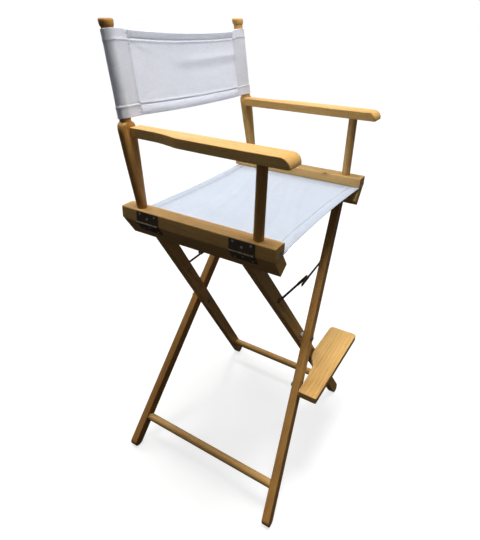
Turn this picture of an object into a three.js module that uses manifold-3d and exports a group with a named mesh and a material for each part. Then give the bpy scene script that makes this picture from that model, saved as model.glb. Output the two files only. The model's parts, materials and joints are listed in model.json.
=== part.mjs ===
import * as THREE from 'three';
import Module from 'manifold-3d';
import { mergeVertices } from 'three/addons/utils/BufferGeometryUtils.js';

// ---------------------------------------------------------------- driving dimensions, mm
const Y_SHIFT = -0.22;                // centres the bounding box on the origin in Y
const G = 0.3;                       // gap between touching pieces
// seat rails (upper)
const Z_RAIL_TOP = 779, Z_JOINT = 750.7, X_OUT = 271.3, X_IN = 231.7;
const Y_RAIL_F = -183.5, Y_RAIL_R = 209.5;
const Z_SEAT = 752.3, Z_CHAN = 758.5, Z_SLOT = 754.7, CHAN_X = 249.5, CHAN_R = 5.6;   // the seat leaves the rail at its lower inner edge
// leg frames
const TILT = 35.37 * Math.PI / 180, W = 32, T_LEG = 20.5, GAP = 10.5;
const X_FACE = 271.7;                // outer leg face at the joint line
const LOW_RAIL = 59.5;               // depth of the lower rail along the leg
const SPLAY_F = -0.0946, SPLAY_R = 0.0766;
const Y_AF = -108, Y_AR = 118;       // front face of the inner legs at the joint line
const Z_STRETCH = 80.5, R_DOWEL = 11;
const FOOT_FLAT = 0.7;
const U_RIVET_Z = 563;               // brace rivets above the floor
const LINK_LEN = 118.85, LINK_TAIL = 25, LINK_T = 2.0;
// posts, arms
const X_POST = 251.5, Y_POST_F = -135.5, X_POST_R = 253, Y_POST_R = 163.5, RAKE = 0.174;
const Z_ARM = 936, T_ARM = 21.3, Z_TOP = 1167;
const R_TOP_DOWEL = 12.3, BLADE = 22.5;
// back canvas
const Z_BACK_LO = 978, BACK_H = 172, Z_SHOULDER = 946;   // the panel sits lower on the far post
const CANVAS = 2.4;
// footrest
const FR_Z = 290, FR_T = 18, FR_XN = -101, FR_XF = 215, FR_YF = -245.5;
// hinges
const BARREL_X = 274.8, BARREL_R = 2.7, PIN_R = 1.2, HINGE_L = 60, LEAF_T = 1.6, LEAF_W = 27;
const HINGE_Y = { front: -109.5, rear: 134 };

const sa = Math.sin(TILT), ca = Math.cos(TILT);
const Z_MID = W / 2;
const uAt = (z) => (Z_JOINT + Z_MID * sa - z) / ca;      // distance down the leg for a height on its centre line
const xCentre = (z) => -X_FACE + Z_MID / ca + (Z_JOINT - z) * Math.tan(TILT);
const Z_PIVOT = Z_JOINT - (X_FACE - Z_MID / ca) / Math.tan(TILT);
const U0 = Z_MID * sa / ca;
const U_PIVOT = uAt(Z_PIVOT);

// ---------------------------------------------------------------- solids
const wasm = await Module();
wasm.setup();
function toSolid(geometry) {
  let g = geometry.clone();
  g.deleteAttribute('normal');
  g.deleteAttribute('uv');
  g = mergeVertices(g, 1e-4);
  const mesh = new wasm.Mesh({
    numProp: 3,
    vertProperties: new Float32Array(g.attributes.position.array),
    triVerts: new Uint32Array(g.index.array),
  });
  mesh.merge();
  return new wasm.Manifold(mesh);
}
function toGeometry(solid) {
  const m = solid.getMesh();
  const g = new THREE.BufferGeometry();
  const n = m.numProp, v = m.vertProperties, out = new Float32Array((v.length / n) * 3);
  for (let i = 0; i < v.length / n; i++) for (let k = 0; k < 3; k++) out[i * 3 + k] = v[i * n + k];
  g.setAttribute('position', new THREE.BufferAttribute(out, 3));
  g.setIndex(new THREE.BufferAttribute(new Uint32Array(m.triVerts), 1));
  return g;
}
const box = (x0, x1, y0, y1, z0, z1) => {
  const g = new THREE.BoxGeometry(x1 - x0, y1 - y0, z1 - z0);
  g.translate((x0 + x1) / 2, (y0 + y1) / 2, (z0 + z1) / 2);
  return g;
};
// cylinder from a to b
function rod(a, b, r, seg = 24, r2 = r) {
  const A = new THREE.Vector3(...a), B = new THREE.Vector3(...b), d = B.clone().sub(A);
  const g = new THREE.CylinderGeometry(r2, r, d.length(), seg);
  g.translate(0, d.length() / 2, 0);
  g.applyQuaternion(new THREE.Quaternion().setFromUnitVectors(new THREE.Vector3(0, 1, 0), d.clone().normalize()));
  g.translate(A.x, A.y, A.z);
  return g;
}
// turned shape: profile points [radius, height] from axis to axis, along +Z
function turned(points, seg = 28) {
  const g = new THREE.LatheGeometry(points.map(([r, h]) => new THREE.Vector2(r, h)), seg);
  g.rotateX(Math.PI / 2);
  return g;
}
function along(geometry, a, dir) {
  geometry.applyQuaternion(new THREE.Quaternion().setFromUnitVectors(new THREE.Vector3(0, 0, 1), new THREE.Vector3(...dir).normalize()));
  geometry.translate(...a);
  return geometry;
}
// outline in plane coordinates (p, q), extruded from t0 to t1, then mapped to the row frame
function plate(outline, t0, t1, map, holes = []) {
  const shape = new THREE.Shape(outline.map(([p, q]) => new THREE.Vector2(p, q)));
  for (const h of holes) shape.holes.push(new THREE.Path(h.map(([p, q]) => new THREE.Vector2(p, q))));
  const g = new THREE.ExtrudeGeometry(shape, { depth: t1 - t0, bevelEnabled: false, steps: 1 });
  g.translate(0, 0, t0);
  const pos = g.attributes.position;
  for (let i = 0; i < pos.count; i++) {
    const [x, y, z] = map(pos.getX(i), pos.getY(i), pos.getZ(i));
    pos.setXYZ(i, x, y, z);
  }
  return outward(g);
}
// flips the faces when the volume comes out negative
function outward(g0) {
  let g = g0.clone();
  g.deleteAttribute('normal');
  if (g.attributes.uv) g.deleteAttribute('uv');
  g = mergeVertices(g, 1e-4);
  const p = g.attributes.position, idx = g.index.array;
  let vol = 0;
  const a = new THREE.Vector3(), b = new THREE.Vector3(), c = new THREE.Vector3();
  for (let i = 0; i < idx.length; i += 3) {
    a.fromBufferAttribute(p, idx[i]); b.fromBufferAttribute(p, idx[i + 1]); c.fromBufferAttribute(p, idx[i + 2]);
    vol += a.dot(b.cross(c)) / 6;
  }
  if (vol < 0) for (let i = 0; i < idx.length; i += 3) { const t = idx[i]; idx[i] = idx[i + 1]; idx[i + 1] = t; }
  return g;
}
const circle = (cx, cy, r, n, from = 0, sweep = 2 * Math.PI, closed = false) => {
  const out = [];
  for (let i = 0; i < (closed ? n + 1 : n); i++) {
    const t = from + sweep * i / n;
    out.push([cx + r * Math.cos(t), cy + r * Math.sin(t)]);
  }
  return out;
};
function rounded(points, radii, n = 5) {
  const out = [];
  for (let i = 0; i < points.length; i++) {
    const r = Array.isArray(radii) ? radii[i] : radii;
    if (!r) { out.push(points[i]); continue; }
    const P = new THREE.Vector2(...points[i]);
    const A = new THREE.Vector2(...points[(i + points.length - 1) % points.length]).sub(P).normalize();
    const B = new THREE.Vector2(...points[(i + 1) % points.length]).sub(P).normalize();
    const half = Math.acos(THREE.MathUtils.clamp(A.dot(B), -1, 1)) / 2;
    const d = r / Math.tan(half);
    const s = P.clone().addScaledVector(A, d), e = P.clone().addScaledVector(B, d);
    const C = P.clone().addScaledVector(A.clone().add(B).normalize(), r / Math.sin(half));
    let t0 = Math.atan2(s.y - C.y, s.x - C.x), t1 = Math.atan2(e.y - C.y, e.x - C.x);
    let dt = t1 - t0;
    while (dt > Math.PI) dt -= 2 * Math.PI;
    while (dt < -Math.PI) dt += 2 * Math.PI;
    for (let k = 0; k <= n; k++) out.push([C.x + r * Math.cos(t0 + dt * k / n), C.y + r * Math.sin(t0 + dt * k / n)]);
  }
  return out;
}

// ---------------------------------------------------------------- materials
const WOOD = () => new THREE.MeshStandardMaterial({ color: 0xcf9a5c, roughness: 0.5, metalness: 0 });
const STEEL = () => new THREE.MeshStandardMaterial({ color: 0xb4b3b0, roughness: 0.35, metalness: 1 });
const CLOTH = () => new THREE.MeshStandardMaterial({ color: 0xe9eaea, roughness: 0.9, metalness: 0 });
const NYLON = () => new THREE.MeshStandardMaterial({ color: 0xdedcd4, roughness: 0.5, metalness: 0 });

const group = new THREE.Group();
function put(name, shape, material) {
  const g = shape.getMesh ? toGeometry(shape) : outward(shape);
  g.translate(0, Y_SHIFT, 0);
  const flat = g.toNonIndexed ? g : g;
  flat.computeVertexNormals();
  const m = new THREE.Mesh(flat, material);
  m.name = name;
  group.add(m);
}

// ---------------------------------------------------------------- leg coordinates
// side -1: frame A, tops at -X, feet at +X; side +1: frame B, the mirror image
// u runs down the leg from the joint line, v across it from the outer face, y is the sheared depth
const leg = (side, splay) => (u, v, y) => [
  side * (X_FACE - u * sa - v * ca),
  y + splay * (u - U0),
  Z_JOINT - u * ca + v * sa,
];
const face = {                                            // front face of each leg at the joint line
  af: Y_AF, bf: Y_AF - T_LEG - GAP, ar: Y_AR, br: Y_AR + T_LEG + GAP,
};
const legs = {
  leg_a_front: [-1, SPLAY_F, face.af], leg_b_front: [1, SPLAY_F, face.bf],
  leg_a_rear: [-1, SPLAY_R, face.ar], leg_b_rear: [1, SPLAY_R, face.br],
};
// unit normal of a leg's wide faces, pointing to +Y
function normal(side, splay) {
  const n = new THREE.Vector3(-splay * -side * sa, 1, splay * ca);
  return n.normalize().toArray();
}
const centreU = (z) => uAt(z);
function legProfile() {
  const uc = (Z_JOINT + Z_MID * sa - (W / 2 - FOOT_FLAT)) / ca;
  const pts = [[LOW_RAIL + G, 0], [uc, 0]];
  for (let i = 1; i < 12; i++) {
    const t = -Math.PI / 2 + Math.PI * i / 12;
    let u = uc + (W / 2) * Math.cos(t), v = W / 2 + (W / 2) * Math.sin(t);
    const z = Z_JOINT - u * ca + v * sa;
    if (z < 0) u += z / ca;                                // flat spot on the floor
    pts.push([u, v]);
  }
  pts.push([uc, W], [LOW_RAIL + G, W]);
  return pts;
}
const at = (side, splay, u, v, y) => leg(side, splay)(u, v, y);
const uRivet = centreU(U_RIVET_Z), uStretch = centreU(Z_STRETCH), uBolt = centreU(FR_Z), uPeg = centreU(FR_Z - FR_T / 2 - G - 5);

for (const [name, [side, splay, y0]] of Object.entries(legs)) {
  let s = toSolid(plate(legProfile(), y0, y0 + T_LEG, leg(side, splay)));
  const n = normal(side, splay);
  // brace rivet hole, square to the wide faces
  const c = at(side, splay, uRivet, Z_MID, name === 'leg_a_front' || name === 'leg_b_rear' ? y0 : y0 + T_LEG);
  s = s.subtract(toSolid(rod(c.map((q, i) => q - 30 * n[i]), c.map((q, i) => q + 30 * n[i]), 2.6, 16)));
  // fold pivot hole, along Y
  const p = at(side, splay, U_PIVOT, Z_MID, y0 + T_LEG / 2);
  s = s.subtract(toSolid(rod([p[0], p[1] - 20, p[2]], [p[0], p[1] + 20, p[2]], 4.3, 24)));
  // foot stretcher socket
  const f = at(side, splay, uStretch, Z_MID, y0 + T_LEG / 2);
  const inward = splay < 0 ? 1 : -1;
  s = s.subtract(toSolid(rod([f[0], f[1], f[2]], [f[0], f[1] + inward * 24, f[2]], R_DOWEL + G, 28)));
  if (name === 'leg_b_front') {
    const b = at(side, splay, uBolt, Z_MID, y0 + T_LEG / 2);
    s = s.subtract(toSolid(rod([b[0], b[1] - 20, b[2]], [b[0], b[1] + 20, b[2]], 3.4, 20)));
  }
  if (name === 'leg_a_front') {
    const b = at(side, splay, uPeg, Z_MID, y0);
    s = s.subtract(toSolid(rod([b[0], b[1] - 5, b[2]], [b[0], b[1] + 12, b[2]], 3.3, 16)));
  }
  put(name, s, WOOD());
}

// foot stretchers, let 8 mm into each leg
for (const [name, side, yf, yr] of [['stretcher_a', -1, face.af, face.ar], ['stretcher_b', 1, face.bf, face.br]]) {
  const a = at(side, SPLAY_F, uStretch, Z_MID, yf + T_LEG / 2), b = at(side, SPLAY_R, uStretch, Z_MID, yr + T_LEG / 2);
  put(name, rod([a[0], a[1] + 1.2, a[2]], [b[0], b[1] - 1.2, b[2]], R_DOWEL, 28), WOOD());
}

// lower rails: outer and inner faces follow the legs, the foot is square to them, the top is level
for (const [name, side] of [['lower_rail_a', -1], ['lower_rail_b', 1]]) {
  const zTop = Z_JOINT - 0.15;
  const top = (v) => (Z_JOINT + v * sa - zTop) / ca;       // u where the level top meets depth v
  const outline = [[top(0), 0], [LOW_RAIL, 0], [LOW_RAIL, W], [top(W), W]];
  const m = leg(side, 0);
  put(name, plate(rounded(outline, [0.8, 2, 2, 0.8], 3), Y_RAIL_F + 1, Y_RAIL_R - 2.5, m), WOOD());
}

// seat rails: a round channel for the seat dowel, open to a slot along the lower inner edge
for (const [name, side] of [['seat_rail_near', -1], ['seat_rail_far', 1]]) {
  const z0 = Z_JOINT + 0.15;
  const m = (p, q, t) => [side * p, t, q];
  const lip = Math.asin((Z_CHAN - Z_SLOT) / CHAN_R);         // the slot's ceiling meets the channel here
  const key = circle(CHAN_X, Z_CHAN, CHAN_R, 20, Math.PI + lip, -(1.5 * Math.PI + lip), true);   // over the top, down to the lowest point
  const outline = [
    [X_OUT, z0], [X_OUT, Z_RAIL_TOP - 3], [X_OUT - 0.9, Z_RAIL_TOP - 0.9], [X_OUT - 3, Z_RAIL_TOP],
    [X_IN + 3, Z_RAIL_TOP], [X_IN + 0.9, Z_RAIL_TOP - 0.9], [X_IN, Z_RAIL_TOP - 3],
    [X_IN, Z_SLOT], ...key, [CHAN_X - 0.3, z0],
  ];
  put(name, plate(outline, Y_RAIL_F, Y_RAIL_R, m), WOOD());
}

// posts
const postY = (z) => Y_POST_R + RAKE * (z - Z_RAIL_TOP);
for (const [tag, side] of [['near', -1], ['far', 1]]) {
  // front dowel post
  put(`post_front_${tag}`, rod([side * X_POST, Y_POST_F, Z_RAIL_TOP + G], [side * X_POST, Y_POST_F, Z_ARM - G], R_DOWEL, 28), WOOD());
  // rear post: a flat board, edge towards the side, that widens upwards to the arm, a rounded shoulder, then a dowel with a knob
  const z0 = Z_RAIL_TOP + G;
  const zs = side < 0 ? Z_SHOULDER + 4 : Z_SHOULDER, run = side < 0 ? 17 : 14;
  const prof = [[0, z0], [11, z0], [11.5, z0 + 2], [11.5, 840], [11.5, 895], [11.5, 943], [11.5, 949], [11.5, 953], [11.6, 956.5], [11.9, 959], [R_TOP_DOWEL, 961.5], [R_TOP_DOWEL, 964], [R_TOP_DOWEL, 966], [R_TOP_DOWEL, 968],
    [R_TOP_DOWEL, 1150], [13.7, 1151.6], [14.6, 1154.5], [15.1, 1158.5], [15.4, 1162], [15, 1164.6], [13.4, 1166.3], [10.5, Z_TOP], [0, Z_TOP]];
  const half = (z) => {
    if (z <= zs) return 11.5 + (BLADE - 11.5) * (z - Z_RAIL_TOP) / (zs - Z_RAIL_TOP);
    if (z >= zs + run) return null;
    const t = (z - zs) / run;
    return R_TOP_DOWEL + (BLADE - R_TOP_DOWEL) * Math.sqrt(Math.max(0, 1 - t * t));
  };
  const g = turned(prof, 32);
  const pos = g.attributes.position;
  for (let i = 0; i < pos.count; i++) {
    let x = pos.getX(i), y = pos.getY(i);
    const z = pos.getZ(i), h = half(z), r = Math.hypot(x, y);
    if (h !== null && r > 1e-6) {
      const rr = r, cx = x / rr, sy = y / rr;
      const k = THREE.MathUtils.clamp((h - 11.5) / 6, 0, 1);        // squarer section where the blade is wide
      const e = 1 - 0.36 * k;
      x = h * Math.sign(cx) * Math.pow(Math.abs(cx), e) * (rr / (z < z0 + 1 ? 11.5 : rr));
      y = rr * Math.sign(sy) * Math.pow(Math.abs(sy), e);
    }
    pos.setXYZ(i, side * X_POST_R + x, postY(z) + y, z);
  }
  put(`post_rear_${tag}`, g, WOOD());
}

// armrests
for (const [tag, side] of [['near', -1], ['far', 1]]) {
  const plan = [
    [223, -200.5], [275.6, -200.5], [275.6, -120], [275, -60], [274.2, -10], [273.2, 20], [272.9, 38], [272.6, 45], [271.4, 53], [268.6, 63.5],
    [265.3, 75], [262.7, 85], [260.7, 95], [259.2, 105], [258, 115], [257.3, 126], [256.9, 140], [256.6, 160], [256.5, 200], [223, 200],
  ];
  const radii = plan.map((_, i) => (i === 0 || i === 1 ? 6 : 0));
  const outline = rounded(plan, radii, 4);
  const top = Z_ARM + T_ARM;
  let s = toSolid(plate(outline, Z_ARM, top, (p, q, t) => [side * p, q, t]));
  const R = 20;
  const butt = (z) => postY(z) - 11.5 - G;                    // the rear end is cut to the rake of the post
  const sideProfile = [[-200.5, Z_ARM - 1], [butt(Z_ARM - 1), Z_ARM - 1], [butt(top), top], [-200.5 + R, top]];
  for (let i = 1; i <= 8; i++) {
    const t = Math.PI / 2 * i / 8;
    sideProfile.push([-200.5 + R - R * Math.sin(t), top - R + R * Math.cos(t)]);
  }
  s = s.intersect(toSolid(plate(sideProfile, 200, 300, (p, q, t) => [side * t, p, q])));
  put(`armrest_${tag}`, s, WOOD());
}

// canvas: a web with a tube at each end, extruded by len; shift(p) slides it along the tubes
function canvas(xTube, rOut, rHole, thick, origin, ex, ey, ez, len, n = 24, shift = () => 0) {
  const e = Math.asin((thick / 2) / rOut);
  const right = circle(xTube, 0, rOut, n, Math.PI + e, 2 * Math.PI - 2 * e, true);        // from lower junction round to the upper one
  const left = circle(-xTube, 0, rOut, n, e, 2 * Math.PI - 2 * e, true);
  const outline = [...right, ...left];
  const holes = [circle(xTube, 0, rHole, n).reverse(), circle(-xTube, 0, rHole, n).reverse()];
  const map = (p, q, t) => [0, 1, 2].map((i) => origin[i] + p * ex[i] + q * ey[i] + (t + shift(p)) * ez[i]);
  return plate(outline, 0, len, map, holes);
}
// seat: a tube round each dowel, and a web that leaves it through the slot
{
  const tube = (side) => plate(circle(side * CHAN_X, Z_CHAN, CHAN_R - 0.4, 24), Y_RAIL_F + 1, Y_RAIL_F + 384, (p, q, t) => [p, t, q], [circle(side * CHAN_X, Z_CHAN, 3.3, 20).reverse()]);
  const h = CANVAS / 2, ux = 0.41, uz = 0.912;               // direction of the neck, from the slot up to the channel
  const neck = (side) => {
    const foot = [246.3, Z_SEAT], top = [foot[0] + 3.6 * ux / uz * 0.9, foot[1] + 3.2];
    return plate([[foot[0] - h * uz - 0.6, Z_SEAT - h], [foot[0] + 0.3, Z_SEAT - h], [top[0] + h * uz, top[1] - h * ux], [top[0] - h * uz, top[1] + h * ux]].map(([p, q]) => [side * p, q]),
      Y_RAIL_F + 1, Y_RAIL_F + 384, (p, q, t) => [p, t, q]);
  };
  let seat = toSolid(box(-246.3, 246.3, Y_RAIL_F + 1, Y_RAIL_F + 384, Z_SEAT - h, Z_SEAT + h));
  for (const side of [-1, 1]) seat = seat.add(toSolid(tube(side))).add(toSolid(neck(side)));
  put('seat_canvas', seat, CLOTH());
}
const rk = Math.atan(RAKE), axis = [0, Math.sin(rk), Math.cos(rk)], across = [0, -Math.cos(rk), Math.sin(rk)];
put('back_canvas', canvas(X_POST_R, 14.4, 12.7, CANVAS, [0, postY(Z_BACK_LO), Z_BACK_LO], [1, 0, 0], across, axis, BACK_H / Math.cos(rk), 28, (p) => -8 - 5 * p / X_POST_R), CLOTH());
for (const [tag, side] of [['near', -1], ['far', 1]])
  put(`seat_dowel_${tag}`, rod([side * CHAN_X, Y_RAIL_F + 1.5, Z_CHAN], [side * CHAN_X, Y_RAIL_F + 383.5, Z_CHAN], 3.0, 16), WOOD());

// hinges: five knuckles, three on the upper leaf
for (const [tag, side] of [['near', -1], ['far', 1]]) for (const end of ['front', 'rear']) {
  const yc = HINGE_Y[end], y0 = yc - HINGE_L / 2, k = HINGE_L / 5, xb = side * BARREL_X;
  const knuckle = (i) => rod([xb, y0 + i * k + 0.15, Z_JOINT], [xb, y0 + (i + 1) * k - 0.15, Z_JOINT], BARREL_R, 16);
  const bore = toSolid(rod([xb, y0 - 5, Z_JOINT], [xb, y0 + HINGE_L + 5, Z_JOINT], PIN_R + 0.25, 12));
  const bx = (a, b, ya, yb, za, zb) => toSolid(box(Math.min(side * a, side * b), Math.max(side * a, side * b), ya, yb, za, zb));
  // upper leaf
  const xi = X_OUT + G, xo = X_OUT + G + LEAF_T;
  let up = bx(xi, xo, y0, y0 + HINGE_L, Z_JOINT + 3.3, Z_RAIL_TOP - 1.2);
  for (const i of [0, 2, 4]) {
    up = up.add(toSolid(knuckle(i)));
    up = up.add(bx(xi, xo, y0 + i * k + 0.15, y0 + (i + 1) * k - 0.15, Z_JOINT, Z_JOINT + 3.8));
  }
  up = up.subtract(bore);
  for (const [dy, z] of [[-21, 771.5], [0, 763.5], [21, 771.5]])
    up = up.subtract(toSolid(rod([side * (xo - 0.6), yc + dy, z], [side * (xo + 2), yc + dy, z], 3.4, 14)));
  put(`hinge_upper_${tag}_${end}`, up, STEEL());
  // lower leaf, on the sloping face
  const m = leg(side, 0), v0 = -G, v1 = -G - LEAF_T;
  const sheet = (u0, u1, ya, yb) => toSolid(plate([[u0, v1], [u1, v1], [u1, v0], [u0, v0]], ya, yb, m));
  let lo = sheet(3.6, LEAF_W + 2, y0, y0 + HINGE_L);
  for (const i of [1, 3]) {
    lo = lo.add(toSolid(knuckle(i)));
    lo = lo.add(sheet(0.4, 4.2, y0 + i * k + 0.15, y0 + (i + 1) * k - 0.15));
  }
  lo = lo.subtract(bore);
  for (const [dy, u] of [[-21, 21.5], [0, 12.5], [21, 21.5]]) {
    const a = m(u, v1 + 0.6, yc + dy), b = m(u, v1 - 3, yc + dy);
    lo = lo.subtract(toSolid(rod(a, b, 3.4, 14)));
  }
  put(`hinge_lower_${tag}_${end}`, lo, STEEL());
  put(`hinge_pin_${tag}_${end}`, rod([xb, y0 + 0.2, Z_JOINT], [xb, y0 + HINGE_L - 0.2, Z_JOINT], PIN_R, 12), STEEL());
}

// fold pivots: bolt, spacer and nut at each crossing
const q = (arr, dy) => [arr[0], arr[1] + dy, arr[2]];
for (const [end, yOut, yIn, dir] of [
  ['front', face.bf, face.af, 1], ['rear', face.ar, face.br, 1],
]) {
  const splay = end === 'front' ? SPLAY_F : SPLAY_R;
  const sh = splay * (U_PIVOT - U0);
  const yHead = yOut + sh, yGap = yHead + T_LEG, yEnd = yIn + sh + T_LEG;
  const tilt = Math.abs(splay);
  const head = turned([[0, 0], [4.6, 0.25], [6.6, 1.4], [7.6, 2.9], [7.6, 3.6], [4, 3.6], [4, 3.6 + (yEnd - yHead) + 2 + 6.5], [0, 3.6 + (yEnd - yHead) + 2 + 6.5]], 24);
  put(`pivot_bolt_${end}`, along(head, [0, yHead - 1.0 - 3.6, Z_PIVOT], [0, 1, 0]), STEEL());
  let spacer = toSolid(rod([0, yGap + 1.1, Z_PIVOT], [0, yGap + GAP - 1.1, Z_PIVOT], 8, 24)).subtract(toSolid(rod([0, yGap - 1, Z_PIVOT], [0, yGap + 20, Z_PIVOT], 4.3, 24)));
  put(`pivot_spacer_${end}`, spacer, NYLON());
  let nut = toSolid(rod([0, yEnd + 1.0, Z_PIVOT], [0, yEnd + 6.4, Z_PIVOT], 7.5, 6)).subtract(toSolid(rod([0, yEnd - 1, Z_PIVOT], [0, yEnd + 20, Z_PIVOT], 4.3, 24)));
  put(`pivot_nut_${end}`, nut, STEEL());
}

// brace links and their rivets, all in planes parallel to the leg faces
const uvEnd = (ang, r, u, v) => [u + r * Math.cos(ang), v + r * Math.sin(ang)];
const linkAngle = Math.atan2(ca, sa);                       // from the leg's downward line to the level line, in (u, v)
for (const [name, side, splay, yFace, out] of [
  ['brace_link_a_front', -1, SPLAY_F, face.af, -1], ['brace_link_b_front', 1, SPLAY_F, face.bf + T_LEG, 1],
  ['brace_link_a_rear', -1, SPLAY_R, face.ar + T_LEG, 1], ['brace_link_b_rear', 1, SPLAY_R, face.br, -1],
]) {
  const cx = uRivet, cy = Z_MID, c = Math.cos(linkAngle), s = Math.sin(linkAngle);
  const P = (a, b) => [cx + a * c - b * s, cy + a * s + b * c];
  const L = LINK_LEN, R = 6, h = 3.4, e = Math.asin(h / R), k = LINK_TAIL, hk = 4.6;
  const outline = [];
  for (let i = 0; i <= 14; i++) { const t = e + (2 * Math.PI - 2 * e) * i / 14; outline.push(P(R * Math.cos(t), R * Math.sin(t))); }
  outline.push(P(L - k - 4, -h), P(L - k, -hk), P(L + k - 1.5, -hk), P(L + k, -hk + 1.5), P(L + k, hk - 1.5), P(L + k - 1.5, hk), P(L - k, hk), P(L - k - 4, h));
  const eye = []; for (let i = 0; i < 16; i++) { const t = 2 * Math.PI * i / 16; eye.push(P(2.7 * Math.cos(t), 2.7 * Math.sin(t))); }
  const t0 = yFace + out * 0.6, t1 = yFace + out * (0.6 + LINK_T);
  const lo = Math.min(t0, t1), hi = Math.max(t0, t1), m = leg(side, splay);
  let sol = toSolid(plate(outline, lo, hi, m, [eye.reverse()]));
  const boss = []; for (let i = 0; i < 16; i++) { const t = 2 * Math.PI * i / 16; boss.push(P(L + 3.6 * Math.cos(t), 3.6 * Math.sin(t))); }
  const b0 = yFace + out * (0.6 + LINK_T - 0.3), b1 = yFace + out * (0.6 + LINK_T + 1.5);
  sol = sol.add(toSolid(plate(boss, Math.min(b0, b1), Math.max(b0, b1), m)));
  put(name, sol, STEEL());
  // rivet through the leg: outer head, shank, head over the link
  const rname = name.replace('brace_link', 'brace_rivet');
  const n = normal(side, splay).map((q2) => q2 * out);      // towards the link
  const base = at(side, splay, uRivet, Z_MID, yFace);
  const far = base.map((q2, i) => q2 - n[i] * (T_LEG * n[1] * out + 0.35 + 2.4));
  const total = T_LEG * n[1] * out + 0.35 + 2.4;
  const prof = [[0, 0], [3.2, 0.2], [5, 1.2], [5.4, 2.4], [2.2, 2.4], [2.2, total + 0.6 + LINK_T + 0.35], [4.6, total + 0.6 + LINK_T + 0.35], [4.2, total + 0.6 + LINK_T + 1.2], [2.4, total + 0.6 + LINK_T + 1.7], [0, total + 0.6 + LINK_T + 1.7]];
  put(rname, along(turned(prof, 18), far, n), STEEL());
}

// footrest: plank hung on a long bolt in the outer front leg, resting on a peg in the inner one
const xBolt = -xCentre(FR_Z), zb = FR_Z;
{
  const rear = [[FR_XN, -196.2], [-90, -195.1], [-76, -194.5], [-60, -194.2], [-34, -193.2], [-13, -191.2], [3, -189.6], [13, -188], [22, -184.6], [30, -179.2], [39, -174], [52, -169.4], [68, -166.6], [90, -165.3], [FR_XF, -165.2]];
  const outline = [[FR_XF, FR_YF], [FR_XN, FR_YF], ...rear];
  const radii = outline.map((_, i) => (i === 0 ? 7 : i === 1 ? 4 : i === 2 ? 3 : i === outline.length - 1 ? 12 : 0));
  let s = toSolid(plate(rounded(outline, radii, 5), zb - FR_T / 2, zb + FR_T / 2, (p, qq, t) => [p, qq, t]));
  s = s.subtract(toSolid(rod([xBolt, FR_YF - 5, zb], [xBolt, -180, zb], 3.3, 24)));
  s = s.subtract(toSolid(rod([xBolt, FR_YF - 5, zb], [xBolt, FR_YF + 5, zb], 6.8, 24)));
  put('footrest_plank', s, WOOD());
  const sh = SPLAY_F * (uBolt - U0), yRear = face.bf + T_LEG + sh;
  const yHead = FR_YF + 0.6;
  const total = yRear + 6.4 - yHead;
  const prof = [[0, 0], [5.6, 0.3], [6.2, 1.2], [6.2, 3.9], [3, 3.9], [3, total], [0, total]];
  put('footrest_bolt', along(turned(prof, 24), [xBolt, yHead, zb], [0, 1, 0]), STEEL());
  put('footrest_nut', toSolid(rod([xBolt, yRear + 0.9, zb], [xBolt, yRear + 5.4, zb], 6, 6)).subtract(toSolid(rod([xBolt, yRear - 1, zb], [xBolt, yRear + 9, zb], 3.3, 20))), STEEL());
  const pz = FR_Z - FR_T / 2 - G - 5, pc = at(-1, SPLAY_F, uPeg, Z_MID, face.af);
  const peg = turned([[0, 0], [4.2, 0], [5, 0.8], [5, 7.4], [3, 7.4], [3, 18.5], [0, 18.5]], 20);
  put('footrest_peg', along(peg, [pc[0], pc[1] - 8.3, pc[2]], [0, 1, 0]), STEEL());
}

export default group;
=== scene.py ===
import json
import math

import bmesh
import bpy
import numpy as np
from mathutils import Matrix, Vector


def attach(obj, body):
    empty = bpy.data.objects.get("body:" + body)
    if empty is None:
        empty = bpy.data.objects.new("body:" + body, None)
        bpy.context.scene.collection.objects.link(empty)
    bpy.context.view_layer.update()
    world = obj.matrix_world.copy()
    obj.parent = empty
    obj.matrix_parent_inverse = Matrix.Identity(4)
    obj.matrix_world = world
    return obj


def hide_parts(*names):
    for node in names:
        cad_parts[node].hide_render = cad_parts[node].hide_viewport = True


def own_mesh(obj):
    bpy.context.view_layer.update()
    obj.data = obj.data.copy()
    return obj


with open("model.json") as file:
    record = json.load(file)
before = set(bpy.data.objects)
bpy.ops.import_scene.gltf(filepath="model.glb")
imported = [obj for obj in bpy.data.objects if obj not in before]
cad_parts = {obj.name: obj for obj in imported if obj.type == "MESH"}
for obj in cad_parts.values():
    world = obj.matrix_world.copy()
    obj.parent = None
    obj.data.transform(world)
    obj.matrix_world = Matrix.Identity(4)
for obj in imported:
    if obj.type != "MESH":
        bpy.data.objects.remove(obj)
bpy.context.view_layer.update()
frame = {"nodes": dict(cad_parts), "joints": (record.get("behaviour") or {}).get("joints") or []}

NODES = frame["nodes"]
scene = bpy.context.scene
MM = 0.001


# ------------------------------------------------------------------ camera
def look():
    az, el, roll = math.radians(-57.335), math.radians(25.465), math.radians(-0.837)
    back = Vector((math.sin(az) * math.cos(el), -math.cos(az) * math.cos(el), math.sin(el)))
    fwd = -back
    right = fwd.cross(Vector((0, 0, 1))).normalized()
    down = fwd.cross(right)
    r2 = math.cos(roll) * right + math.sin(roll) * down
    d2 = -math.sin(roll) * right + math.cos(roll) * down
    return Matrix((r2, -d2, -fwd)).transposed()


cam_data = bpy.data.cameras.new("camera")
cam = bpy.data.objects.new("camera", cam_data)
scene.collection.objects.link(cam)
cam.matrix_world = Matrix.Translation(Vector((-0.9789, -0.5128, 1.1762))) @ look().to_4x4()
cam_data.sensor_width = 36
cam_data.lens = 463.798 * 36 / 540
cam_data.shift_x = (240 - 220.201) / 540
cam_data.shift_y = (235.165 - 270) / 540
cam_data.clip_start, cam_data.clip_end = 0.05, 200
scene.camera = cam


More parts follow.
